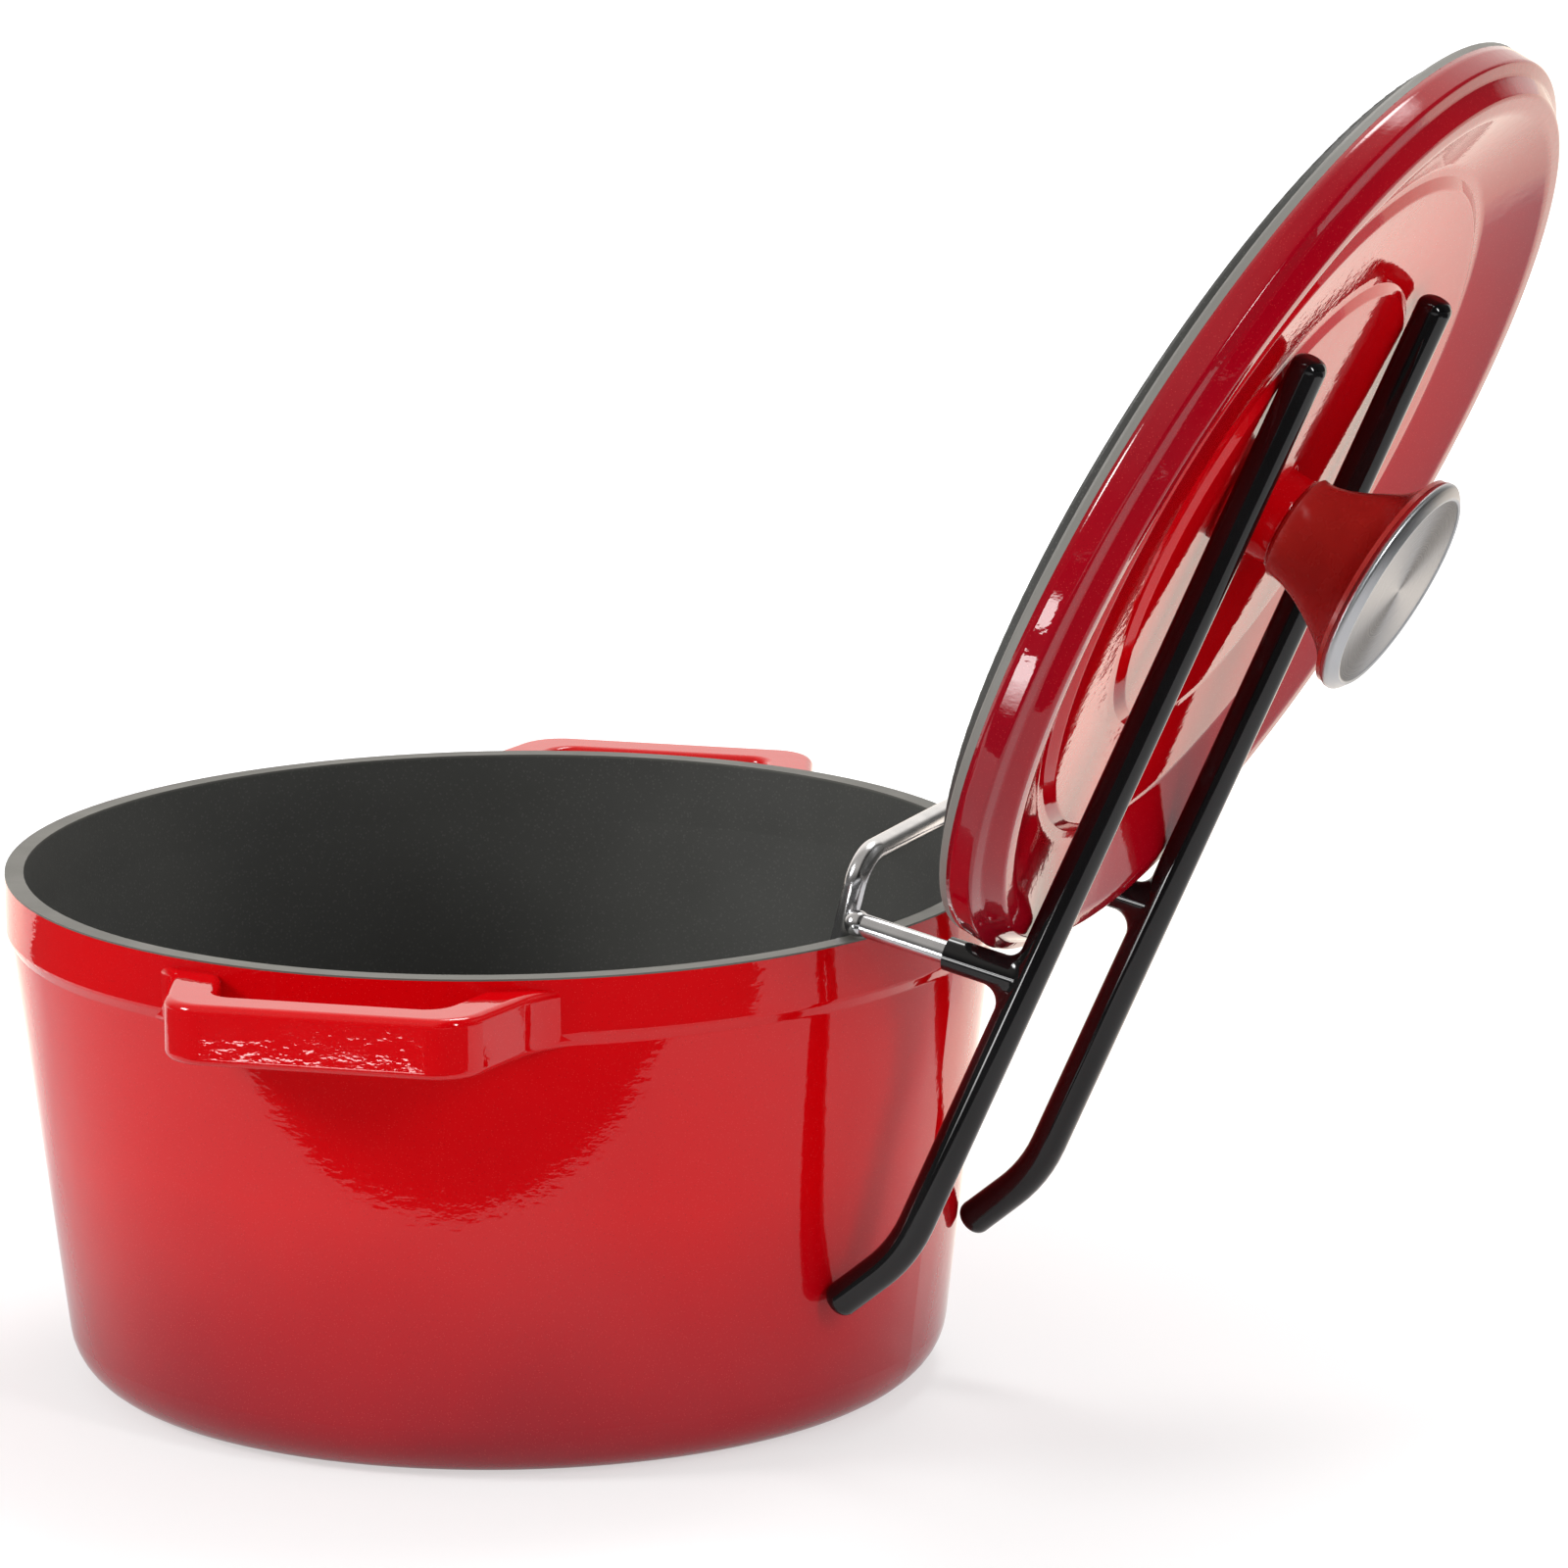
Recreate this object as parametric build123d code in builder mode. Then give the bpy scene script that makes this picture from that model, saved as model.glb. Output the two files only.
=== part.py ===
"""Round enamelled cast iron pot, its lid parked in a wire stand hooked over the rim.

Millimetres, +Z up. The origin is the centre of the flat base. The stand reaches out along +X
and is alike on both sides of the XZ plane.
"""
import os
from math import atan, cos, degrees, radians, sin, sqrt, tan

from build123d import *

os.makedirs("parts", exist_ok=True)

# Pot
rim_radius = 132.0
pot_height = 138.0
wall_taper = 7.0
wall_thickness = 4.5
rim_width = 4.5
floor_thickness = 5.5
collar_height = 15.0
collar_step = 1.6
collar_step_height = 3.0
base_corner = 16.0
collar_blend = 2.0
mouth_blend = 8.0
lining_thickness = 0.5

# Loop handles, turned a little from the stand's own direction
handle_turn = 8.0
handle_gap = 15.5
handle_bar = 12.5
handle_below_rim = 3.0
handle_depth = 16.0
handle_half_width = 40.0
handle_splay = 15.0
handle_arm = 13.3
handle_corner = 13.0
handle_flare = 26.0
handle_round = 2.2
window_corner = 6.0

# Lid, measured from the plane of its lower edge
lid_overhang = 0.5
lid_band = 9.8
lid_band_edge = 1.2
cove_inset = 3.6
cove_rise = 1.2
cove_blend = 2.5
ridge_inset = 9.5
ridge_crown = 2.5
ridge_height = 15.5
ridge_shoulder = 2.0
ridge_blend = 8.0
dish_blend = 6.0
outer_ring_inset = 27.0
outer_ring_low = 7.9
outer_ring_rise = 1.7
inner_ring_inset = 31.5
inner_ring_low = 7.7
inner_ring_rise = 1.4
ring_step = 3.0
ring_foot = 0.8
ring_edge = 1.6
plate_blend = 10.0
lid_centre_height = 9.6
boss_radius = 12.5
boss_height = 8.4
boss_apron = 4.0
boss_foot = 2.0
boss_edge = 1.0
lid_underside = 3.6
ridge_hollow = 9.8
hollow_run = 16.0
hollow_blend = 5.0
lid_strip = 2.5
lid_lower_edge = 0.9
locating_depth = 4.0
locating_width = 4.6
locating_clearance = 1.2
locating_inner_draft = 1.0
locating_outer_draft = 0.4
locating_root = 2.5
locating_toe = 1.0
seat_root = 0.6

# Knob and its fixing
knob_base_radius = 14.2
knob_foot = 1.0
knob_waist_radius = 14.9
knob_waist_level = 7.0
knob_flare_out = 5.5
knob_flare_level = 18.0
knob_top_radius = 29.8
knob_lip = 1.2
knob_length = 28.2
cap_radius = 31.0
cap_thickness = 4.4
cap_skirt = 1.8
cap_face_radius = 26.6
cap_face_sink = 0.4
cap_lip_width = 1.0
cap_edge = 0.5
cap_shoulder = 1.6
cap_face_corner = 0.3
screw_radius = 3.0
screw_head_radius = 6.0
screw_head_height = 3.2
screw_head_dome = 1.8
screw_shank_edge = 0.2
screw_tip_round = 0.6
screw_slot_width = 1.2
screw_slot_depth = 1.4
screw_fit = 0.05
screw_hole_clearance = 0.4
washer_radius = 8.5
washer_thickness = 1.2
insert_radius = 5.5
insert_length = 17.0
screw_end_gap = 2.0

# Wire stand
arm_spacing = 88.0
arm_lean = 25.0
arm_reach = 49.0
arm_above_joint = 181.0
arm_below_joint = 84.0
knee_bend = 26.0
knee_radius = 40.0
coat_end = 3.6
coat_end_round = 3.0
core_radius = 3.0
coat_thickness = 1.75
wire_radius = 3.0
stub_coat = 1.5
stub_length = 22.8
stub_blend = 5.0
strut_rise = 12.5
leg_spacing = 80.0
leg_lean = 14.4
leg_drop = 26.0
bridge_height = 20.6
bridge_bend = 8.0
weld_proud = 0.45
weld_gap = 0.1

# Room between pieces that move apart
seat_clearance = 0.3

# How far cutting shapes run past a face, and how near a place a corner is looked for
overcut = 1.0
snap = 0.5

# Pot levels and radii
collar_base = pot_height - collar_height
neck_level = collar_base - collar_step_height
neck_radius = rim_radius - collar_step
slope = tan(radians(wall_taper))
cone_radius = neck_radius - neck_level * slope
cone_shift = wall_thickness / cos(radians(wall_taper))
mouth_radius = rim_radius - rim_width
iron_top = pot_height - lining_thickness
handle_top = pot_height - handle_below_rim
handle_base = handle_top - handle_depth
root_radius = cone_radius + handle_base * slope
handle_inner = rim_radius + handle_gap
handle_reach = handle_inner + handle_bar
splay = tan(radians(handle_splay))
handle_root_half = handle_half_width + handle_reach * splay
window_root_half = handle_root_half - handle_arm / cos(radians(handle_splay))
window_half = window_root_half - handle_inner * splay
root_square = root_radius**2 * (1 + splay**2) - handle_root_half**2
root_reach = (handle_root_half * splay + sqrt(root_square)) / (1 + splay**2)

# Stand lines in the plane of one arm, as x and z
arm_side = arm_spacing / 2
coat_radius = core_radius + coat_thickness
stub_radius = wire_radius + stub_coat
rim_edge_x = sqrt(rim_radius**2 - arm_side**2)
arm_x = rim_edge_x + arm_reach
lean_s, lean_c = sin(radians(arm_lean)), cos(radians(arm_lean))
rise_s, rise_c = sin(radians(strut_rise)), cos(radians(strut_rise))
strut_x = rim_edge_x + (wire_radius + seat_clearance) * rise_s
strut_z = pot_height + (wire_radius + seat_clearance) * rise_c
joint_run = arm_x - strut_x + (strut_z - pot_height) * lean_s / lean_c
joint_run /= rise_c + rise_s * lean_s / lean_c
joint_x = strut_x + joint_run * rise_c
joint_z = strut_z - joint_run * rise_s
tip_x = joint_x + arm_above_joint * lean_s
tip_z = joint_z + arm_above_joint * lean_c
knee_x = joint_x - arm_below_joint * lean_s
knee_z = joint_z - arm_below_joint * lean_c

# The foot runs from the knee until its round end meets the tapered wall
foot_s, foot_c = sin(radians(arm_lean + knee_bend)), cos(radians(arm_lean + knee_bend))
wall_room = (coat_radius + seat_clearance) / cos(radians(wall_taper))
wall_at_knee = cone_radius + knee_z * slope + wall_room
foot_a = foot_s**2 - (foot_c * slope) ** 2
foot_b = -knee_x * foot_s + wall_at_knee * foot_c * slope
foot_k = knee_x**2 + arm_side**2 - wall_at_knee**2
foot_length = (-foot_b - sqrt(foot_b**2 - foot_a * foot_k)) / foot_a
foot_x = knee_x - foot_length * foot_s
foot_z = knee_z - foot_length * foot_c

# The hook legs pass just inside the lined mouth, and each strut ends against its leg
leg_side = leg_spacing / 2
leg_s, leg_c = sin(radians(leg_lean)), cos(radians(leg_lean))
leg_circle = mouth_radius - lining_thickness - (wire_radius + seat_clearance) / leg_c
leg_x = sqrt(leg_circle**2 - leg_side**2)
side_step = arm_side - leg_side
touch_gap = sqrt((2 * wire_radius + weld_gap) ** 2 - side_step**2)
to_leg = (strut_x - leg_x) * leg_c - (strut_z - pot_height) * leg_s - touch_gap
strut_run = to_leg / cos(radians(strut_rise - leg_lean))
strut_end_x = strut_x - strut_run * rise_c
strut_end_z = strut_z + strut_run * rise_s

# The lid lies with its ridge and its inner plateau against the arms, and its band on the stubs
lid_radius = rim_radius + lid_overhang
ridge_radius = lid_radius - ridge_inset
outer_ring_radius = ridge_radius - outer_ring_inset
inner_ring_radius = outer_ring_radius - inner_ring_inset
plateau_radius = inner_ring_radius - ring_step / 2
plateau_height = inner_ring_low + inner_ring_rise
ridge_drop = sqrt((ridge_radius - ridge_crown) ** 2 - arm_side**2)
band_drop = sqrt(lid_radius**2 - arm_side**2)
plateau_rise = sqrt(plateau_radius**2 - arm_side**2)
tilt = atan((ridge_height - plateau_height) / (plateau_rise + ridge_drop))
lid_lean = arm_lean + degrees(tilt)
over = radians(lid_lean - strut_rise)
lid_back = -ridge_height - (coat_radius + seat_clearance) / cos(tilt) + ridge_drop * tan(tilt)
stub_room = (stub_radius + seat_clearance) * lid_radius / band_drop
rest = stub_room + band_drop * cos(over) + (lid_back + lid_band) * sin(over)
lid_rise = rest / (cos(over) + tan(tilt) * sin(over))
lid_back -= lid_rise * tan(tilt)
lid_s, lid_c = sin(radians(lid_lean)), cos(radians(lid_lean))
lid_x = joint_x + lid_back * lid_c + lid_rise * lid_s
lid_z = joint_z - lid_back * lid_s + lid_rise * lid_c
lid_section = Plane(origin=(lid_x, 0, lid_z), x_dir=(lid_s, 0, lid_c), z_dir=(0, 1, 0))
lid_axis = Axis((lid_x, 0, lid_z), (lid_c, 0, -lid_s))

# Levels along the lid's own axis
boss_top = lid_centre_height + boss_height
knob_top = boss_top + knob_length
cap_top = knob_top + cap_thickness
insert_top = boss_top + insert_length
washer_face = lid_underside - washer_thickness
screw_tip = insert_top - screw_end_gap
screw_hole = screw_radius + screw_hole_clearance
locating_outer = mouth_radius - lining_thickness - locating_clearance
locating_inner = locating_outer - locating_width


def cavity_section(skin):
    """Half section of the pot's hollow, drawn in by the given skin."""
    floor = floor_thickness + skin
    inner_cone = cone_radius - cone_shift - skin
    neck = (inner_cone + neck_level * slope, neck_level)
    mouth = (mouth_radius - skin, pot_height)
    above = pot_height + overcut
    corner = (inner_cone + floor * slope, floor)
    with BuildSketch(Plane.XZ) as section:
        with BuildLine():
            FilletPolyline(
                (0, floor),
                corner,
                neck,
                mouth,
                radius=[base_corner - wall_thickness, mouth_blend],
            )
            Polyline(mouth, (mouth[0], above), (0, above), (0, floor))
        make_face()
    return section.sketch


def lid_profile(skin):
    """Half section of the lid, with the underside drawn in by the given skin."""
    low = lid_underside + skin
    hollow = ridge_hollow + skin
    inner = locating_inner + skin
    outer = locating_outer - skin
    toe = skin - locating_depth
    half = ring_step / 2
    hollow_start = outer_ring_radius + half + ring_step
    with BuildSketch(lid_section) as section:
        with BuildLine():
            top = FilletPolyline(
                (lid_radius, lid_strip),
                (lid_radius, lid_band),
                (lid_radius - cove_inset, lid_band + cove_rise),
                (ridge_radius + ridge_crown, ridge_height),
                (ridge_radius - ridge_crown, ridge_height),
                (outer_ring_radius + half + ring_step, outer_ring_low),
                (outer_ring_radius + half, outer_ring_low),
                (outer_ring_radius - half, outer_ring_low + outer_ring_rise),
                (inner_ring_radius + half + ring_step, inner_ring_low),
                (inner_ring_radius + half, inner_ring_low),
                (inner_ring_radius - half, inner_ring_low + inner_ring_rise),
                (boss_radius + boss_apron, lid_centre_height),
                (boss_radius, lid_centre_height),
                (boss_radius, boss_top),
                (0, boss_top),
                radius=[
                    lid_band_edge,
                    cove_blend,
                    ridge_shoulder,
                    ridge_blend,
                    dish_blend,
                    ring_foot,
                    ring_edge,
                    plate_blend,
                    ring_foot,
                    ring_edge,
                    boss_edge,
                    boss_foot,
                    boss_edge,
                ],
            )
            under = FilletPolyline(
                (0, low),
                (hollow_start, low),
                (hollow_start + hollow_run, hollow),
                (inner - locating_inner_draft, hollow),
                (inner, toe),
                (outer - locating_outer_draft, toe),
                (outer, skin),
                (lid_radius - skin, skin),
                (lid_radius - skin, lid_strip),
                radius=[
                    hollow_blend,
                    hollow_blend,
                    locating_root,
                    locating_toe,
                    locating_toe,
                    seat_root,
                    lid_lower_edge,
                ],
            )
            Line(top @ 1, under @ 0)
            if skin:
                Line(under @ 1, top @ 0)
        make_face()
    return section.sketch


def beyond_wall(edge):
    """True for an edge of a handle that stands clear of the pot's wall."""
    middle = edge @ 0.5
    return sqrt(middle.X**2 + middle.Y**2) > root_radius + snap


with BuildPart() as handle_plate:
    with BuildSketch(Plane.XY.offset(handle_base)) as outline:
        Circle(root_radius)
        with BuildLine():
            FilletPolyline(
                (-handle_root_half, 0),
                (-handle_half_width, -handle_reach),
                (handle_half_width, -handle_reach),
                (handle_root_half, 0),
                radius=[handle_corner, handle_corner],
            )
            Line((handle_root_half, 0), (-handle_root_half, 0))
        make_face()
        roots = [corner for corner in outline.vertices() if abs(corner.Y + root_reach) < snap]
        fillet(roots, radius=handle_flare)
        with BuildSketch(mode=Mode.PRIVATE) as window:
            with BuildLine():
                FilletPolyline(
                    (-window_root_half, 0),
                    (-window_half, -handle_inner),
                    (window_half, -handle_inner),
                    (window_root_half, 0),
                    radius=[window_corner, window_corner],
                )
                Line((window_root_half, 0), (-window_root_half, 0))
            make_face()
            Circle(root_radius, mode=Mode.SUBTRACT)
        add(window.sketch, mode=Mode.SUBTRACT)
    extrude(amount=handle_depth)
    loop_edges = [edge for edge in handle_plate.edges() if (edge @ 0.5).Y < -root_reach]
    flat_edges = [edge for edge in loop_edges if abs((edge @ 0).Z - (edge @ 1).Z) < snap]
    fillet([edge for edge in flat_edges if beyond_wall(edge)], radius=handle_round)

with BuildPart() as pot_casting:
    with BuildSketch(Plane.XZ):
        with BuildLine():
            FilletPolyline(
                (0, 0),
                (cone_radius, 0),
                (neck_radius, neck_level),
                (rim_radius, collar_base),
                (rim_radius, iron_top),
                radius=[base_corner, collar_blend, collar_blend],
            )
            Line((rim_radius, iron_top), (0, iron_top))
            Line((0, iron_top), (0, 0))
        make_face()
    revolve(axis=Axis.Z)
    with PolarLocations(0, 2, start_angle=handle_turn):
        add(handle_plate.part)
    revolve(cavity_section(0), axis=Axis.Z, mode=Mode.SUBTRACT)

with BuildPart() as pot_lining:
    revolve(cavity_section(0), axis=Axis.Z)
    with BuildSketch(Plane.XY.offset(iron_top)):
        Circle(rim_radius)
    extrude(amount=lining_thickness + overcut)
    with BuildSketch(Plane.XY.offset(pot_height)):
        Circle(handle_reach)
    extrude(amount=2 * overcut, mode=Mode.SUBTRACT)
    revolve(cavity_section(lining_thickness), axis=Axis.Z, mode=Mode.SUBTRACT)

with BuildPart() as lid_casting:
    revolve(lid_profile(lining_thickness), axis=lid_axis)
    with BuildSketch(Plane(origin=lid_axis.position, z_dir=lid_axis.direction)):
        Circle(screw_hole)
    extrude(amount=boss_top + overcut, mode=Mode.SUBTRACT)

with BuildPart() as lid_lining:
    revolve(lid_profile(0), axis=lid_axis)
    with BuildSketch(Plane(origin=lid_axis.position, z_dir=lid_axis.direction)):
        Circle(screw_hole)
    extrude(amount=boss_top + overcut, mode=Mode.SUBTRACT)
    add(lid_casting.part, mode=Mode.SUBTRACT)

with BuildPart() as knob_body:
    with BuildSketch(lid_section):
        with BuildLine():
            flare = Spline(
                (knob_base_radius, boss_top + knob_foot),
                (knob_waist_radius, boss_top + knob_waist_level),
                (knob_waist_radius + knob_flare_out, boss_top + knob_flare_level),
                (knob_top_radius, knob_top - knob_lip),
                tangents=[(-0.3, 1), (1, 0.45)],
            )
            Polyline(flare @ 1, (knob_top_radius, knob_top), (0, knob_top), (0, boss_top))
            Polyline((0, boss_top), (knob_base_radius - knob_foot, boss_top), flare @ 0)
        make_face()
    revolve(axis=lid_axis)
    with BuildSketch(lid_section):
        with BuildLine():
            Polyline(
                (0, boss_top),
                (insert_radius, boss_top),
                (insert_radius, insert_top),
                (0, insert_top),
                close=True,
            )
        make_face()
    revolve(axis=lid_axis, mode=Mode.SUBTRACT)

with BuildPart() as knob_cap:
    with BuildSketch(lid_section):
        with BuildLine():
            FilletPolyline(
                (0, knob_top),
                (knob_top_radius, knob_top),
                (cap_radius, knob_top + cap_skirt),
                (cap_face_radius + cap_lip_width, cap_top),
                (cap_face_radius, cap_top - cap_face_sink),
                (0, cap_top - cap_face_sink),
                radius=[cap_edge, cap_shoulder, cap_edge, cap_face_corner],
            )
            Line((0, cap_top - cap_face_sink), (0, knob_top))
        make_face()
    revolve(axis=lid_axis)

with BuildPart() as knob_insert:
    with BuildSketch(lid_section):
        bore = screw_radius + screw_fit
        with BuildLine():
            Polyline(
                (bore, boss_top),
                (insert_radius, boss_top),
                (insert_radius, insert_top),
                (0, insert_top),
                (0, screw_tip + screw_end_gap / 2),
                (bore, screw_tip + screw_end_gap / 2),
                close=True,
            )
        make_face()
    revolve(axis=lid_axis)

with BuildPart() as knob_washer:
    with BuildSketch(lid_section):
        with BuildLine():
            Polyline(
                (screw_hole, washer_face),
                (washer_radius, washer_face),
                (washer_radius, lid_underside),
                (screw_hole, lid_underside),
                close=True,
            )
        make_face()
    revolve(axis=lid_axis)

with BuildPart() as knob_screw:
    with BuildSketch(lid_section):
        with BuildLine():
            head = FilletPolyline(
                (0, washer_face - screw_head_height),
                (screw_head_radius, washer_face - screw_head_height),
                (screw_head_radius, washer_face),
                (screw_radius, washer_face),
                (screw_radius, screw_tip),
                (0, screw_tip),
                radius=[screw_head_dome, screw_shank_edge, screw_shank_edge, screw_tip_round],
            )
            Line(head @ 1, head @ 0)
        make_face()
    revolve(axis=lid_axis)
    head_face = lid_axis.position + lid_axis.direction * (washer_face - screw_head_height)
    with BuildSketch(Plane(origin=head_face, x_dir=(0, 1, 0), z_dir=lid_axis.direction)):
        Rectangle(2 * (screw_head_radius + overcut), screw_slot_width)
    extrude(amount=screw_slot_depth, mode=Mode.SUBTRACT)

joint = Vector(joint_x, -arm_side, joint_z)
strut_way = Vector(-rise_c, 0, rise_s)
strut_end = Vector(strut_end_x, -arm_side, strut_end_z)
tip = Vector(tip_x, -arm_side, tip_z)
knee = Vector(knee_x, -arm_side, knee_z)
foot = Vector(foot_x, -arm_side, foot_z)
arm_way = Vector(-lean_s, 0, -lean_c)
foot_way = Vector(-foot_s, 0, -foot_c)

with BuildPart() as stand_rod_left:
    with BuildLine() as arm_path:
        FilletPolyline(tip, knee, foot, radius=knee_radius)
    with BuildSketch(Plane(origin=tip, z_dir=arm_way)):
        Circle(core_radius)
    sweep(path=arm_path.wires()[0])

with BuildPart() as stand_strut_left:
    with BuildSketch(Plane(origin=joint, z_dir=strut_way)):
        Circle(wire_radius)
    extrude(amount=(strut_end - joint).length)
    with Locations(strut_end):
        Sphere(wire_radius)
    add(stand_rod_left.part, mode=Mode.SUBTRACT)

with BuildPart() as stand_sleeve_left:
    with BuildSketch(Plane(origin=tip, z_dir=arm_way)):
        Circle(coat_radius)
    sweep(path=arm_path.wires()[0])
    for end, way in ((tip, -arm_way), (foot, foot_way)):
        with BuildSketch(Plane(origin=end, z_dir=way)):
            Circle(coat_radius)
        extrude(amount=coat_end)
        close_edges = stand_sleeve_left.edges().filter_by(GeomType.CIRCLE)
        fillet(close_edges.sort_by_distance(end + way * (coat_end + coat_radius))[0], radius=coat_end_round)
    with BuildSketch(Plane(origin=joint, z_dir=strut_way)):
        Circle(stub_radius)
    extrude(amount=stub_length)
    sleeve_edges = stand_sleeve_left.edges()
    seam_reach = coat_radius + wire_radius
    fillet([edge for edge in sleeve_edges if (edge.center() - joint).length < seam_reach], radius=stub_blend)
    add(stand_rod_left.part, mode=Mode.SUBTRACT)
    add(stand_strut_left.part, mode=Mode.SUBTRACT)

with BuildPart() as stand_bridge:
    crown_x = leg_x + bridge_height * leg_s / leg_c
    crown_z = pot_height + bridge_height
    toe_x = leg_x - leg_drop * leg_s / leg_c
    toe_z = pot_height - leg_drop
    with BuildLine() as bridge_path:
        FilletPolyline(
            (toe_x, -leg_side, toe_z),
            (crown_x, -leg_side, crown_z),
            (crown_x, leg_side, crown_z),
            (toe_x, leg_side, toe_z),
            radius=bridge_bend,
        )
    with BuildSketch(Plane(origin=(toe_x, -leg_side, toe_z), z_dir=(leg_s, 0, leg_c))):
        Circle(wire_radius)
    sweep(path=bridge_path.wires()[0])

with BuildPart() as stand_weld_left:
    with Locations(strut_end):
        Sphere(wire_radius + weld_proud)
    add(stand_strut_left.part, mode=Mode.SUBTRACT)
    add(stand_bridge.part, mode=Mode.SUBTRACT)

with BuildPart() as stand_rod_right:
    mirror(stand_rod_left.part, about=Plane.XZ)

with BuildPart() as stand_strut_right:
    mirror(stand_strut_left.part, about=Plane.XZ)

with BuildPart() as stand_sleeve_right:
    mirror(stand_sleeve_left.part, about=Plane.XZ)

with BuildPart() as stand_weld_right:
    mirror(stand_weld_left.part, about=Plane.XZ)

pieces = {
    "pot_casting": pot_casting,
    "pot_lining": pot_lining,
    "lid_casting": lid_casting,
    "lid_lining": lid_lining,
    "knob_body": knob_body,
    "knob_cap": knob_cap,
    "knob_insert": knob_insert,
    "knob_washer": knob_washer,
    "knob_screw": knob_screw,
    "stand_rod_left": stand_rod_left,
    "stand_rod_right": stand_rod_right,
    "stand_sleeve_left": stand_sleeve_left,
    "stand_sleeve_right": stand_sleeve_right,
    "stand_strut_left": stand_strut_left,
    "stand_strut_right": stand_strut_right,
    "stand_bridge": stand_bridge,
    "stand_weld_left": stand_weld_left,
    "stand_weld_right": stand_weld_right,
}
for name, piece in pieces.items():
    piece.part.label = name
    export_step(piece.part, f"parts/{name}.step")
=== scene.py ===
"""Dressed model of a round enamelled cast iron pot with its lid parked in a wire stand.

Metres, +Z up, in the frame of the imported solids.
"""
import math

import bmesh
import bpy
from mathutils import Matrix, Vector


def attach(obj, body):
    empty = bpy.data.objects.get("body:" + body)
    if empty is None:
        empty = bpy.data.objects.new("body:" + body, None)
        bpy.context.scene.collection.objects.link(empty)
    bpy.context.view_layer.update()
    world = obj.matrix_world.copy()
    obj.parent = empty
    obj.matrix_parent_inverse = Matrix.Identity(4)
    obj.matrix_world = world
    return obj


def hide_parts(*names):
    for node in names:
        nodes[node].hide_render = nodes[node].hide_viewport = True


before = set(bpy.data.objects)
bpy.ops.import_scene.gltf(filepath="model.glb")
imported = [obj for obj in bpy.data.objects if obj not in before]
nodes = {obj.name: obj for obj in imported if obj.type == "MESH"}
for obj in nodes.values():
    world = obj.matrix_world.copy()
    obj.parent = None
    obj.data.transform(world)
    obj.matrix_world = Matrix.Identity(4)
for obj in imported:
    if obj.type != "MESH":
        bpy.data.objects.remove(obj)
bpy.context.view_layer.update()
scene = bpy.context.scene

# The lid's own place: centre of its lower edge, the way its top faces, and the way up its face
LID_LEAN = math.radians(27.33035)
LID_ORIGIN = Vector((0.209901, 0.0, 0.253969))
LID_AXIS = Vector((math.cos(LID_LEAN), 0.0, -math.sin(LID_LEAN)))
LID_UP = Vector((math.sin(LID_LEAN), 0.0, math.cos(LID_LEAN)))
LID_PLACE = Matrix((
    (LID_UP.x, 0.0, LID_AXIS.x, LID_ORIGIN.x),
    (0.0, 1.0, 0.0, 0.0),
    (LID_UP.z, 0.0, LID_AXIS.z, LID_ORIGIN.z),
    (0.0, 0.0, 0.0, 1.0),
))

# Sizes shared with the solids: heights of the knob are along the lid's axis
POT_HEIGHT = 0.138
LID_RIM_START, LID_RIM_FULL = 0.1285, 0.1292
KNOB_TOP = 0.0462
CAP_TOP = 0.0506
CAP_FACE = 0.0266
CAP_SEAT = 0.0298
CAP_RADIUS = 0.031
CAP_SKIRT = 0.0018
CAP_LIP = 0.001
CAP_DISH = 0.0004

# Shading: the range that most noise falls in, and the run from the cap's face to its edge
WHITE = (1.0, 1.0, 1.0, 1.0)
NOISE_LOW, NOISE_HIGH = 0.3, 0.7
FACE_BLEND = 0.0004


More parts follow.
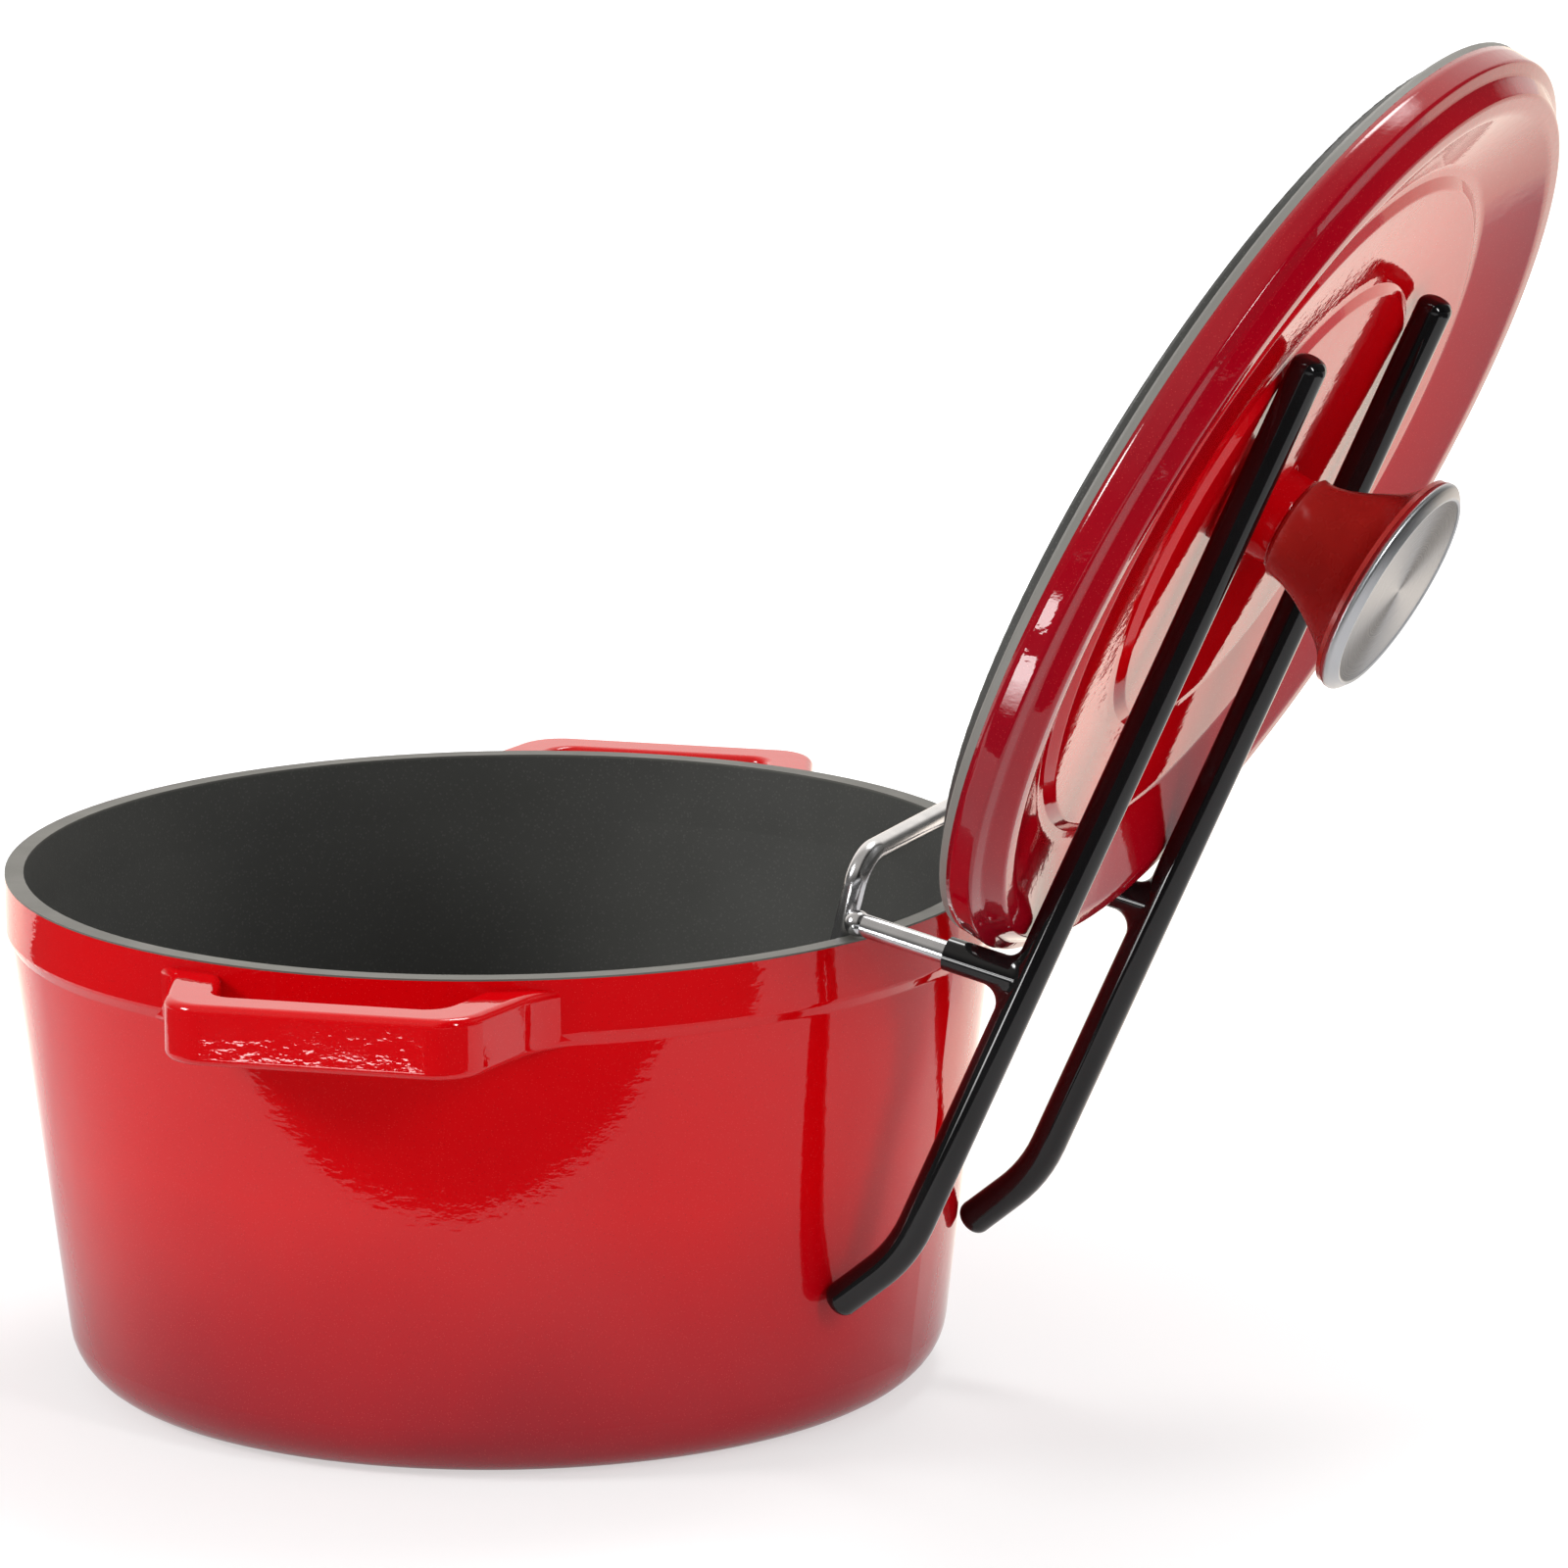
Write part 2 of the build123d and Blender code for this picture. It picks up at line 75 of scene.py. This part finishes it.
# Node graphs
class Graph:
    """A node tree with short calls for the nodes it needs."""

    def __init__(self, tree):
        self.tree = tree
        tree.nodes.clear()

    def add(self, kind, **settings):
        node = self.tree.nodes.new(kind)
        for key, value in settings.items():
            setattr(node, key, value)
        return node

    def feed(self, socket, value):
        """Links another node's socket to an input, or sets the input to a constant."""
        if isinstance(value, bpy.types.NodeSocket):
            self.tree.links.new(value, socket)
        else:
            socket.default_value = value

    def math(self, operation, first, second=0.0, clamp=False):
        node = self.add("ShaderNodeMath", operation=operation, use_clamp=clamp)
        self.feed(node.inputs[0], first)
        self.feed(node.inputs[1], second)
        return node.outputs[0]

    def vector(self, operation, first, second=(0.0, 0.0, 0.0), scale=None):
        node = self.add("ShaderNodeVectorMath", operation=operation)
        self.feed(node.inputs[0], first)
        self.feed(node.inputs[1], second)
        if scale is not None:
            self.feed(node.inputs["Scale"], scale)
        return node.outputs["Value" if operation in ("DOT_PRODUCT", "LENGTH") else "Vector"]

    def axes(self, vector):
        node = self.add("ShaderNodeSeparateXYZ")
        self.feed(node.inputs[0], vector)
        return node.outputs

    def ramp(self, value, start, end, low=0.0, high=1.0, kind="LINEAR"):
        """The value taken from the range of start to end to that of low to high, and held there."""
        node = self.add("ShaderNodeMapRange", clamp=True, interpolation_type=kind)
        self.feed(node.inputs["Value"], value)
        self.feed(node.inputs["From Min"], start)
        self.feed(node.inputs["From Max"], end)
        self.feed(node.inputs["To Min"], low)
        self.feed(node.inputs["To Max"], high)
        return node.outputs["Result"]

    def mix(self, factor, first, second):
        node = self.add("ShaderNodeMix", data_type="RGBA")
        self.feed(node.inputs["Factor"], factor)
        self.feed(node.inputs[6], first)
        self.feed(node.inputs[7], second)
        return node.outputs[2]

    def shine(self, kind, strength, colour=WHITE):
        """An emission or background shader."""
        node = self.add(kind)
        self.feed(node.inputs["Strength"], strength)
        self.feed(node.inputs["Color"], colour)
        return node.outputs[0]

    def show(self, kind, shader):
        """Sends the shader to an output node of this kind."""
        self.feed(self.add(kind).inputs["Surface"], shader)


class Look(Graph):
    """A material with one principled shader, in the piece's own coordinates."""

    INPUTS = {
        "color": "Base Color",
        "rough": "Roughness",
        "metal": "Metallic",
        "specular": "Specular IOR Level",
        "aniso": "Anisotropic",
        "tangent": "Tangent",
        "normal": "Normal",
    }

    def __init__(self, name):
        self.material = bpy.data.materials.new(name)
        self.material.use_nodes = True
        super().__init__(self.material.node_tree)
        self.shader = self.add("ShaderNodeBsdfPrincipled")
        self.show("ShaderNodeOutputMaterial", self.shader.outputs[0])
        self.place = self.add("ShaderNodeTexCoord").outputs["Object"]

    def set(self, **values):
        for key, value in values.items():
            self.feed(self.shader.inputs[self.INPUTS[key]], value)
        return self.material

    def noise(self, scale, detail=2.0, rough=0.5, vector=None):
        node = self.add("ShaderNodeTexNoise")
        self.feed(node.inputs["Vector"], vector or self.place)
        node.inputs["Scale"].default_value = scale
        node.inputs["Detail"].default_value = detail
        node.inputs["Roughness"].default_value = rough
        return node.outputs["Fac"]

    def cloud(self, low, high, *noise):
        """Noise spread over the whole range of low to high."""
        return self.ramp(self.noise(*noise), NOISE_LOW, NOISE_HIGH, low, high)

    def specks(self, scale, size, amount):
        """Small round dots, the amount inside and 0 outside."""
        node = self.add("ShaderNodeTexVoronoi")
        self.feed(node.inputs["Vector"], self.place)
        node.inputs["Scale"].default_value = scale
        dots = self.ramp(node.outputs["Distance"], size, size * 0.6)
        return self.math("MULTIPLY", dots, amount)

    def bump(self, height, distance, normal=None):
        node = self.add("ShaderNodeBump")
        node.inputs["Strength"].default_value = 1.0
        node.inputs["Distance"].default_value = distance
        self.feed(node.inputs["Height"], height)
        if normal is not None:
            self.feed(node.inputs["Normal"], normal)
        return node.outputs["Normal"]

    def height(self):
        return self.axes(self.place)[2]

    def lid_radius(self):
        """Distance from the lid's axis."""
        away = self.vector("SUBTRACT", self.place, tuple(LID_ORIGIN))
        along = self.vector("DOT_PRODUCT", away, tuple(LID_AXIS))
        shift = self.vector("SCALE", tuple(LID_AXIS), scale=along)
        return self.vector("LENGTH", self.vector("SUBTRACT", away, shift))


# Materials
def rgb(red, green, blue):
    """Linear colour from screen values of 0 to 255."""
    def linear(value):
        value /= 255.0
        return value / 12.92 if value <= 0.04045 else ((value + 0.055) / 1.055) ** 2.4
    return (linear(red), linear(green), linear(blue), 1.0)


def enamel(name, shade_of):
    """Gloss red enamel over iron, cherry dark where the shade is 0."""
    look = Look(name)
    shade = look.math("ADD", shade_of(look), look.cloud(-0.08, 0.08, 16.0, 3.0), clamp=True)
    colour = look.mix(shade, rgb(132, 3, 24), rgb(200, 2, 9))
    colour = look.mix(look.specks(1300.0, 0.2, 0.3), colour, rgb(226, 80, 74))
    colour = look.mix(look.specks(900.0, 0.16, 0.35), colour, rgb(92, 0, 10))
    wave = look.bump(look.noise(70.0, 1.0, 0.4), 0.00006)
    drawn = look.vector("MULTIPLY", look.place, (1.0, 1.0, 1.8))
    peel = look.bump(look.noise(260.0, 2.0, 0.55, drawn), 0.00004, wave)
    rough = look.cloud(0.02, 0.05, 130.0, 3.0)
    return look.set(color=colour, rough=rough, specular=0.5, normal=peel)


def pot_shade(look):
    """Darker towards the foot of the wall."""
    return look.ramp(look.height(), 0.0, 0.075, 0.05, 1.0)


def turned_shade(look):
    """Darker towards the lid's edge."""
    return look.ramp(look.lid_radius(), 0.131, 0.08, 0.12, 0.85)


def lining(name, rim_of, rim_iron_and_sheen_colour):
    """Matte black enamel with a fine tooth, paler where the rim is 1: partly bare rim iron, partly
    a painted sheen.
    """
    look = Look(name)
    colour = look.mix(look.cloud(0.0, 1.0, 9.0, 4.0, 0.6), rgb(68, 68, 66), rgb(78, 78, 75))
    colour = look.mix(look.specks(900.0, 0.3, 0.5), colour, rgb(96, 96, 92))
    # Painted sheen: the paler rim colour is partly the bare iron and partly the light it catches at
    # a grazing angle
    colour = look.mix(rim_of(look), colour, rim_iron_and_sheen_colour)
    rough = look.cloud(0.42, 0.56, 60.0, 3.0)
    tooth = look.bump(look.noise(1500.0, 2.0), 0.00003)
    return look.set(color=colour, rough=rough, specular=0.4, normal=tooth)


def pot_rim(look):
    return look.ramp(look.height(), POT_HEIGHT - 0.0008, POT_HEIGHT - 0.0002)


def lid_edge(look):
    return look.ramp(look.lid_radius(), LID_RIM_START, LID_RIM_FULL)


def metal(name, light, dark, rough_low, rough_high, scale):
    look = Look(name)
    colour = look.mix(look.cloud(0.0, 1.0, scale, 3.0), dark, light)
    rough = look.cloud(rough_low, rough_high, scale * 3.0, 2.0)
    grain = look.bump(look.noise(scale * 2.0), 0.000006)
    return look.set(color=colour, rough=rough, metal=1.0, normal=grain)


def coated(name):
    """Thick gloss black dip over the stand's rods."""
    look = Look(name)
    colour = look.mix(look.cloud(0.0, 1.0, 30.0, 3.0), rgb(10, 10, 11), rgb(20, 20, 21))
    rough = look.cloud(0.05, 0.1, 80.0, 2.0)
    wave = look.bump(look.noise(70.0, 1.0), 0.00006)
    return look.set(color=colour, rough=rough, specular=0.5, normal=wave)


def satin(name):
    """Satin red of the knob."""
    look = Look(name)
    colour = look.mix(look.cloud(0.0, 1.0, 45.0, 3.0), rgb(158, 30, 28), rgb(178, 42, 36))
    rough = look.cloud(0.22, 0.3, 200.0, 2.0)
    grain = look.bump(look.noise(900.0), 0.000008)
    return look.set(color=colour, rough=rough, specular=0.5, normal=grain)


def brushed(name):
    """Steel face brushed in rings about the piece's own Z axis, with a plain satin edge, and a
    painted reflection: darker sectors by angle across the face.
    """
    look = Look(name)
    across, along = look.axes(look.place)[:2]
    radius = look.vector("LENGTH", look.vector("MULTIPLY", look.place, (1.0, 1.0, 0.0)))
    ring = look.add("ShaderNodeTexNoise", noise_dimensions="1D")
    look.feed(ring.inputs["W"], radius)
    ring.inputs["Scale"].default_value = 5200.0
    ring.inputs["Detail"].default_value = 2.0
    groove = ring.outputs["Fac"]
    face = look.ramp(radius, CAP_FACE + FACE_BLEND, CAP_FACE)
    polish = look.ramp(groove, NOISE_LOW, NOISE_HIGH, -0.1, 0.0)
    rough = look.math("ADD", look.math("MULTIPLY", face, polish), 0.34)
    lines = look.mix(groove, rgb(130, 136, 145), rgb(100, 105, 113))
    colour = look.mix(face, rgb(206, 208, 211), lines)
    # Painted reflection: sectors by angle darken the face, standing in for the bow-tie sheen of the
    # brushing
    turn = look.math("ARCTAN2", along, across)
    painted_fan_reflection = look.math("SINE", look.math("ADD", look.math("MULTIPLY", turn, 2.0), 0.6))
    painted_reflection_sector = look.math("MULTIPLY", face, look.ramp(painted_fan_reflection, 0.1, 0.95))
    colour = look.mix(painted_reflection_sector, colour, rgb(74, 77, 82))
    return look.set(
        color=colour,
        rough=rough,
        metal=1.0,
        aniso=0.8,
        tangent=look.add("ShaderNodeTangent", direction_type="RADIAL", axis="Z").outputs[0],
        normal=look.bump(look.math("MULTIPLY", groove, face), 0.000004),
    )


# Turned pieces
def lathe(name, profile, segments, ring=False):
    """Turned piece about its Z axis from (radius, height) points, a closed line if it is a ring."""
    mesh = bmesh.new()
    turn = 2.0 * math.pi / segments
    rings = []
    for radius, height in profile:
        if radius < 1e-7:
            rings.append([mesh.verts.new((0.0, 0.0, height))])
            continue
        rings.append([
            mesh.verts.new((radius * math.cos(turn * i), radius * math.sin(turn * i), height))
            for i in range(segments)
        ])
    if ring:
        rings.append(rings[0])
    for low, high in zip(rings, rings[1:]):
        for i in range(segments):
            j = (i + 1) % segments
            corners = [
                low[i % len(low)], low[j % len(low)], high[j % len(high)], high[i % len(high)],
            ]
            unique = [v for k, v in enumerate(corners) if v not in corners[:k]]
            if len(unique) > 2:
                mesh.faces.new(unique)
    bmesh.ops.recalc_face_normals(mesh, faces=mesh.faces)
    data = bpy.data.meshes.new(name)
    mesh.to_mesh(data)
    mesh.free()
    data.shade_smooth()
    piece = bpy.data.objects.new(name, data)
    scene.collection.objects.link(piece)
    return piece


def rounded(points, radii, steps):
    """The line with an arc of the given radius at each inner corner."""
    line = [Vector(points[0])]
    for before, corner, after, radius in zip(points, points[1:], points[2:], radii):
        corner, before, after = Vector(corner), Vector(before), Vector(after)
        to_before = (before - corner).normalized()
        to_after = (after - corner).normalized()
        half = to_before.angle(to_after) / 2.0
        reach = radius / math.tan(half)
        centre = corner + (to_before + to_after).normalized() * (radius / math.sin(half))
        start = corner + to_before * reach - centre
        end = corner + to_after * reach - centre
        sweep = start.angle_signed(end)
        for k in range(steps + 1):
            a = -sweep * k / steps
            line.append(centre + Vector((
                start.x * math.cos(a) - start.y * math.sin(a),
                start.x * math.sin(a) + start.y * math.cos(a),
            )))
    line.append(Vector(points[-1]))
    return line


def stretched(line, step):
    """The line with points added so that none of its runs is longer than the step."""
    full = [line[0]]
    for point in line[1:]:
        start = full[-1]
        count = max(1, math.ceil((point - start).length / step))
        full += [start.lerp(point, k / count) for k in range(1, count + 1)]
    return full


def millimetres(points):
    return [(radius / 1000.0, height / 1000.0) for radius, height in points]


CAP_SEGMENTS = 160
FACE_RINGS = 12
cap_line = rounded(
    [
        (0.0, KNOB_TOP),
        (CAP_SEAT, KNOB_TOP),
        (CAP_RADIUS, KNOB_TOP + CAP_SKIRT),
        (CAP_FACE + CAP_LIP, CAP_TOP),
        (CAP_FACE, CAP_TOP - CAP_DISH),
        (0.0, CAP_TOP - CAP_DISH),
    ],
    [0.0005, 0.0016, 0.0005, 0.0003],
    6,
)
face_line = [
    Vector((CAP_FACE * (1.0 - k / FACE_RINGS), CAP_TOP - CAP_DISH)) for k in range(1, FACE_RINGS)
]
cap = lathe("knob_cap_turned", cap_line[:-1] + face_line + cap_line[-1:], CAP_SEGMENTS)
cap.matrix_world = LID_PLACE
cap.data.materials.append(brushed("brushed_steel"))
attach(cap, "lid")
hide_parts("knob_cap")

# The lid's casting: from the edge over band, ridge, rings and boss, and back underneath
LID_SEGMENTS = 288
TOP_STEP = 0.003
UNDER_STEP = 0.008
lid_top = rounded(
    millimetres([
        (132.5, 2.5), (132.5, 9.8), (128.9, 11.0), (125.5, 15.5), (120.5, 15.5),
        (100.5, 7.9), (97.5, 7.9), (94.5, 9.6), (69.0, 7.7), (66.0, 7.7), (63.0, 9.1),
        (16.5, 9.6), (12.5, 9.6), (12.5, 18.0), (3.4, 18.0),
    ]),
    [r / 1000.0 for r in (1.2, 2.5, 2.0, 8.0, 6.0, 0.8, 1.6, 10.0, 0.8, 1.6, 1.0, 2.0, 1.0)],
    8,
)
lid_under = rounded(
    millimetres([
        (3.4, 4.1), (100.5, 4.1), (116.5, 10.3), (120.7, 10.3), (121.7, -3.5),
        (124.9, -3.5), (125.3, 0.5), (132.0, 0.5), (132.0, 2.5),
    ]),
    [r / 1000.0 for r in (5.0, 5.0, 2.5, 1.0, 1.0, 0.6, 0.9)],
    4,
)
lid_line = stretched(lid_top, TOP_STEP) + stretched(lid_under, UNDER_STEP)
lid = lathe("lid_turned", lid_line, LID_SEGMENTS, ring=True)
# Its mesh is placed itself, so that its box is no larger than its shape
lid.data.transform(LID_PLACE)
lid.data.materials.append(enamel("lid_enamel", turned_shade))
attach(lid, "lid")
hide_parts("lid_casting")

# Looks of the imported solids
zinc = metal("zinc_steel", rgb(190, 192, 196), rgb(150, 152, 158), 0.25, 0.4, 150.0)
wire = metal("bright_wire", rgb(226, 226, 228), rgb(196, 197, 200), 0.16, 0.22, 60.0)
coat = coated("black_coat")
looks = {
    "pot_casting": enamel("pot_enamel", pot_shade),
    # The paler colours of the pot's rim and the lid's edge are partly painted sheen
    "pot_lining": lining("pot_matte_enamel", pot_rim, rgb(98, 97, 92)),
    "lid_lining": lining("lid_matte_enamel", lid_edge, rgb(124, 122, 117)),
    "knob_body": satin("knob_satin"),
    "knob_insert": metal("brass", rgb(206, 168, 92), rgb(170, 132, 66), 0.22, 0.34, 120.0),
    "knob_washer": zinc,
    "knob_screw": zinc,
    "stand_bridge": wire,
}
for side in ("left", "right"):
    looks["stand_sleeve_" + side] = coat
    looks["stand_rod_" + side] = wire
    looks["stand_strut_" + side] = wire
    looks["stand_weld_" + side] = wire
for name, look in looks.items():
    data = nodes[name].data
    data.materials.clear()
    data.materials.append(look)

# Floor: white to the camera far from the pot, with painted shade that dims it towards the pot, and
# to reflections a grey ground with a pale warm part behind
FLOOR_RADIUS = 9.0
FLOOR_DROP = 0.0002
FLOOR_GREY = 0.42
FLOOR_WARM = (1.0, 0.84, 0.68, 1.0)
floor_mesh = bmesh.new()
bmesh.ops.create_circle(floor_mesh, cap_ends=True, segments=96, radius=FLOOR_RADIUS)
floor_data = bpy.data.meshes.new("studio_floor")
floor_mesh.to_mesh(floor_data)
floor_mesh.free()
floor = bpy.data.objects.new("studio_floor", floor_data)
floor.location = (0.0, 0.0, -FLOOR_DROP)
scene.collection.objects.link(floor)
floor_look = bpy.data.materials.new("studio_white")
floor_look.use_nodes = True
graph = Graph(floor_look.node_tree)
ray = graph.add("ShaderNodeLightPath").outputs
spot = graph.add("ShaderNodeNewGeometry").outputs["Position"]
across, depth = graph.axes(spot)[:2]
# Painted shade: the floor's glow to the camera fades from white far out to dimmer near the pot
fade = graph.ramp(graph.vector("LENGTH", spot), 0.15, 0.9, 0.56, 0.95)
behind = graph.ramp(depth, 0.05, 0.22)
slant = graph.ramp(graph.math("SUBTRACT", depth, across), 0.08, 0.15)
inner = graph.ramp(across, 0.27, 0.19)
pale = graph.math("MULTIPLY", behind, graph.math("MAXIMUM", slant, inner))
mirrored = graph.math("ADD", 0.3, graph.math("MULTIPLY", pale, 0.8))
to_eye = graph.math("MULTIPLY", ray["Is Camera Ray"], fade)
to_gloss = graph.math("MULTIPLY", ray["Is Glossy Ray"], mirrored)
to_matte = graph.math("MULTIPLY", ray["Is Diffuse Ray"], FLOOR_GREY)
strength = graph.math("ADD", to_eye, graph.math("ADD", to_gloss, to_matte))
tint = graph.mix(graph.math("MULTIPLY", pale, ray["Is Glossy Ray"]), WHITE, FLOOR_WARM)
paper = graph.add("ShaderNodeBsdfDiffuse")
paper.inputs["Color"].default_value = (FLOOR_GREY, FLOOR_GREY, FLOOR_GREY, 1.0)
both = graph.add("ShaderNodeAddShader")
graph.feed(both.inputs[0], paper.outputs[0])
graph.feed(both.inputs[1], graph.shine("ShaderNodeEmission", strength, tint))
graph.show("ShaderNodeOutputMaterial", both.outputs[0])
floor_data.materials.append(floor_look)


def mirrored_sheet(name, corners, height, faces):
    """Flat stage piece just above the floor, seen only in reflections."""
    data = bpy.data.meshes.new(name)
    data.from_pydata([(x, y, height) for x, y in corners], [], faces)
    sheet = bpy.data.objects.new(name, data)
    scene.collection.objects.link(sheet)
    sheet.visible_camera = False
    sheet.visible_diffuse = False
    sheet.visible_shadow = False
    sheet.visible_transmission = False
    return sheet


# The unlit front of the studio: its outline runs ahead of the pot's axis and aside from it
TO_CAMERA = Vector((0.4117, -0.9113))
ASIDE = Vector((0.9113, 0.4117))
CARD_HEIGHT = 0.0005
outline = [
    (-0.15, 5.0), (-0.15, 0.7), (0.395, 0.7), (0.176, -0.45), (-0.35, -0.45), (-0.35, -5.0),
    (5.0, -5.0), (5.0, -0.45), (0.9, -0.45), (0.9, 0.7), (5.0, 0.7), (5.0, 5.0),
]
card_corners = [TO_CAMERA * ahead + ASIDE * aside for ahead, aside in outline]
card = mirrored_sheet("front_card", card_corners, CARD_HEIGHT, [tuple(range(len(outline)))])
card.data.materials.append(Look("card_dark").set(color=(0.03, 0.03, 0.03, 1.0), rough=0.9))

# A pale strip in front draws the line along each black arm: rows of y, left x, right x and glow,
# in two runs with a gap between them
STRIP_HEIGHT = 0.001
STRIP_POWER = 14.0
strip_rows = [
    (-0.36, -0.035, 0.04, 0.0), (-0.48, -0.078, 0.003, 1.0), (-0.6, -0.12, -0.035, 1.0),
    (-0.8, -0.19, -0.095, 1.0), (-1.0, -0.267, -0.153, 1.0), (-1.2, -0.343, -0.212, 1.0),
    (-1.4, -0.42, -0.27, 0.0),
]
strip_corners = [(x, row[0]) for row in strip_rows for x in row[1:3]]
strip_faces = [(2 * k, 2 * k + 1, 2 * k + 3, 2 * k + 2) for k in (0, 1, 3, 4, 5)]
strip = mirrored_sheet("front_strip", strip_corners, STRIP_HEIGHT, strip_faces)
strip.data.attributes.new("glow", "FLOAT", "POINT").data.foreach_set(
    "value", [row[3] for row in strip_rows for _ in range(2)]
)
strip_look = bpy.data.materials.new("strip_glow")
strip_look.use_nodes = True
graph = Graph(strip_look.node_tree)
glow = graph.add("ShaderNodeAttribute", attribute_name="glow").outputs["Fac"]
strength = graph.math("MULTIPLY", glow, STRIP_POWER)
graph.show("ShaderNodeOutputMaterial", graph.shine("ShaderNodeEmission", strength))
strip.data.materials.append(strip_look)

# Surroundings: white to the camera, a white backdrop with a darker front and right to reflections
AMBIENT = 0.62
WORLD_WARM = (1.0, 0.95, 0.89, 1.0)
world = bpy.data.worlds.new("studio")
scene.world = world
world.use_nodes = True
graph = Graph(world.node_tree)
ray = graph.add("ShaderNodeLightPath").outputs
way = graph.axes(graph.add("ShaderNodeTexCoord").outputs["Generated"])
overhead = graph.ramp(way["Z"], 0.15, 0.6, 0.1, 0.5)
front = graph.ramp(way["Y"], 0.05, 0.55, overhead, 1.15)
backdrop = graph.math("MULTIPLY", front, graph.ramp(way["X"], 0.36, 0.16, 0.08, 1.0))
mirror = graph.math("MAXIMUM", ray["Is Glossy Ray"], ray["Is Transmission Ray"])
change = graph.math("MULTIPLY", mirror, graph.math("SUBTRACT", backdrop, AMBIENT))
strength = graph.math("MAXIMUM", graph.math("ADD", change, AMBIENT), ray["Is Camera Ray"])
tint = graph.mix(ray["Is Glossy Ray"], WHITE, WORLD_WARM)
graph.show("ShaderNodeOutputWorld", graph.shine("ShaderNodeBackground", strength, tint))

# Lamps
LAMP_AIM = Vector((0.05, 0.0, 0.12))
LAMP_PEAK = 2.6


def soft_box(name, place, width, height, power):
    """Rectangular lamp that fades towards its edges, so its reflection has no hard outline."""
    light = bpy.data.lights.new(name, "AREA")
    light.shape = "RECTANGLE"
    light.size = width
    light.size_y = height
    light.energy = power
    light.use_nodes = True
    graph = Graph(light.node_tree)
    spot = graph.add("ShaderNodeNewGeometry").outputs["Parametric"]
    centred = graph.vector("SUBTRACT", spot, (0.5, 0.5, 0.0))
    away = graph.vector("LENGTH", graph.vector("MULTIPLY", centred, (1.0, 1.0, 0.0)))
    fade = graph.ramp(away, 0.5, 0.1, 0.0, LAMP_PEAK, "SMOOTHSTEP")
    graph.show("ShaderNodeOutputLight", graph.shine("ShaderNodeEmission", fade))
    lamp = bpy.data.objects.new(name, light)
    lamp.location = place
    lamp.rotation_euler = (LAMP_AIM - Vector(place)).to_track_quat("-Z", "Y").to_euler()
    scene.collection.objects.link(lamp)


soft_box("key_box", (-1.6, -1.3, 1.3), 1.0, 1.0, 36.0)
soft_box("top_box", (0.1, 0.9, 2.0), 1.4, 0.9, 22.0)
soft_box("side_box", (1.7, -0.9, 1.1), 0.4, 1.3, 16.0)

# Camera: its place, and the ways that its right, top and back face
CAMERA_PLACE = Vector((1.23888, -2.56083, 0.80913))
CAMERA_RIGHT = Vector((0.912167, 0.409722, -0.00889))
CAMERA_UP = Vector((-0.083545, 0.207146, 0.974736))
CAMERA_BACK = Vector((0.401212, -0.88838, 0.223182))
camera_data = bpy.data.cameras.new("camera")
camera_data.sensor_fit = "HORIZONTAL"
camera_data.sensor_width = 36.0
camera_data.lens = 252.47
camera_data.clip_end = 50.0
camera = bpy.data.objects.new("camera", camera_data)
camera_turn = Matrix((CAMERA_RIGHT, CAMERA_UP, CAMERA_BACK)).transposed().to_4x4()
camera.matrix_world = Matrix.Translation(CAMERA_PLACE) @ camera_turn
scene.collection.objects.link(camera)
scene.camera = camera

scene.view_settings.view_transform = "Standard"
bpy.context.view_layer.update()
